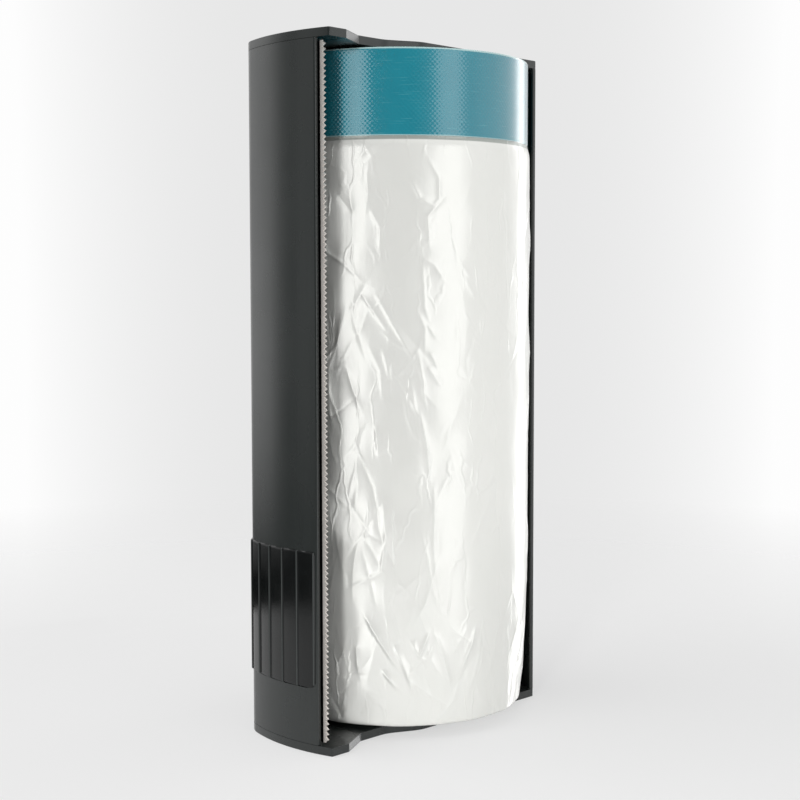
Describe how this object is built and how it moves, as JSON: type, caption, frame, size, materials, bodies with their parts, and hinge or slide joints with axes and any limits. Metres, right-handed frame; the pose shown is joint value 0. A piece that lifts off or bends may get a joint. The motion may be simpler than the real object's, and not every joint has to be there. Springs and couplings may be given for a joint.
{
  "type": "masking film dispenser",
  "caption": "Hand-held dispenser for pre-taped masking film: a black trough case with flat end caps, a serrated blade along one wall and a roll turning on core plugs.",
  "frame": {"origin": "under the middle of the bounding box, on the plane that the bottom end cap stands on", "axes": "+Z along the roll's axis towards the taped end, -Y out of the opening that shows the roll, -X the side with the blade and the grip pad"},
  "size_m": [0.1008, 0.0856, 0.205],
  "materials": {
    "case": "moulded black ABS, satin gloss",
    "grip": "soft black grip, ribbed",
    "blade": "stamped strip steel, dull bright",
    "screws": "zinc plated",
    "plugs": "moulded black nylon",
    "core": "spiral wound grey-brown board",
    "tape": "teal cloth-backed tape, fine woven relief",
    "film": "thin white masking film, folded and wound, soft sheen"
  },
  "bodies": {
    "case": {"case_shell": "case", "top_end_cap": "case", "bottom_end_cap": "case", "grip_pad": "grip", "serrated_blade": "blade", "top_cap_screw_1": "screws", "top_cap_screw_2": "screws", "bottom_cap_screw_1": "screws", "bottom_cap_screw_2": "screws"},
    "roll": {"core_tube": "core", "tape_winding": "tape", "film_winding": "film"},
    "top_plug": {"top_core_plug": "plugs"},
    "bottom_plug": {"bottom_core_plug": "plugs"}
  },
  "joints": [
    {"name": "roll_spin", "type": "hinge", "parent": "case", "child": "roll", "pos_m": [0.00559, -0.00197, 0.1025], "axis": [0, 0, 1], "continuous": true},
    {"name": "top_plug_pull", "type": "slide", "parent": "roll", "child": "top_plug", "axis": [0, 0, 1], "range_m": [0, 0.022]},
    {"name": "bottom_plug_pull", "type": "slide", "parent": "roll", "child": "bottom_plug", "axis": [0, 0, -1], "range_m": [0, 0.022]}
  ]
}
